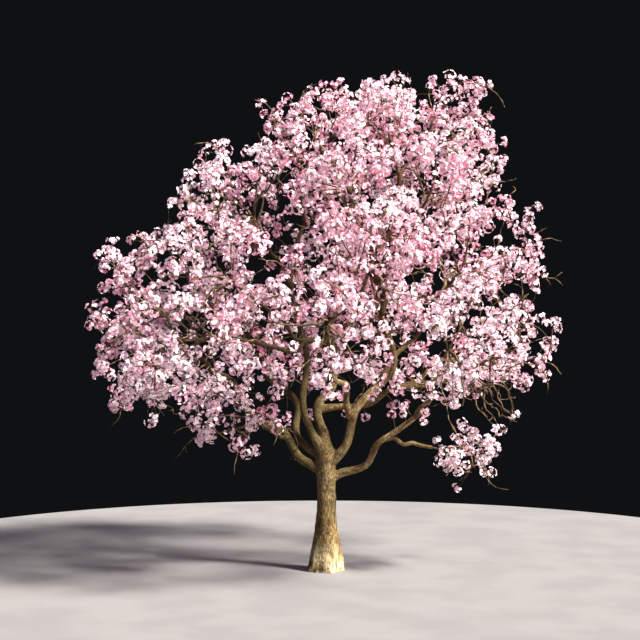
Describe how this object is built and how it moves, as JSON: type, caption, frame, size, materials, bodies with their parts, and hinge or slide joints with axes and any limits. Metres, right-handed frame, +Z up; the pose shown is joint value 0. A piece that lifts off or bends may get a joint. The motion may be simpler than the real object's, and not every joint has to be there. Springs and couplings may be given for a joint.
{
  "type": "cherry blossom tree",
  "caption": "Ornamental cherry tree in full bloom: a short flared trunk, low forking boughs and a wide rounded head of pink double blossom with no leaves.",
  "frame": {"origin": "on the ground, in the flat cut under the middle of the trunk", "axes": "+Z up along the trunk, +X to the right and +Y to the back as the tree is usually seen"},
  "size_m": [8.4936, 8.5454, 8.9262],
  "materials": {
    "bark": "rough, with shallow upright fissures",
    "twig_bark": "thin smooth bark",
    "blossom": "soft matt petals",
    "blossom_white": "soft matt petals, almost white",
    "blossom_pale": "soft matt petals, pale pink",
    "blossom_rose": "soft matt petals, deep pink"
  },
  "bodies": {
    "root": {"trunk": "bark", "bough_centre_back": "bark", "bough_right": "bark", "bough_centre_left": "bark", "bough_mid_left": "bark", "bough_low_left": "bark", "bough_low_right": "bark", "bough_front": "bark", "limb_crossing": "bark", "limb_left_front": "bark", "limb_front_left_low": "bark", "limb_left_back": "bark", "limb_upper_left": "bark", "limb_top_left": "bark", "limb_back": "bark", "limb_back_left": "bark", "limb_back_high": "bark", "limb_right_back": "bark", "limb_top": "bark", "limb_upper_right": "bark", "limb_upper_front": "bark", "limb_upper_back": "bark", "limb_right_high": "bark", "limb_hanging_right": "bark", "limb_right_front": "bark", "limb_front": "bark", "limb_front_left": "bark", "limb_front_high_left": "bark", "limb_front_high_right": "bark", "mass_skirt_1": "blossom", "mass_skirt_2": "blossom", "mass_skirt_3": "blossom", "mass_skirt_4": "blossom", "mass_skirt_5": "blossom", "mass_skirt_6": "blossom", "mass_skirt_7": "blossom", "mass_skirt_8": "blossom", "mass_skirt_9": "blossom", "mass_shoulder_1": "blossom", "mass_shoulder_2": "blossom", "mass_shoulder_3": "blossom", "mass_shoulder_4": "blossom", "mass_shoulder_5": "blossom", "mass_shoulder_6": "blossom", "mass_shoulder_7": "blossom", "mass_upper_1": "blossom", "mass_upper_2": "blossom", "mass_upper_3": "blossom", "mass_upper_4": "blossom", "mass_upper_5": "blossom", "mass_upper_6": "blossom", "mass_top_1": "blossom", "mass_top_2": "blossom", "mass_top_3": "blossom", "mass_top_4": "blossom", "mass_heart_right": "blossom", "mass_heart_left": "blossom", "mass_low_right": "blossom", "mass_hanging_right": "blossom", "mass_hanging_left": "blossom"}
  },
  "joints": []
}
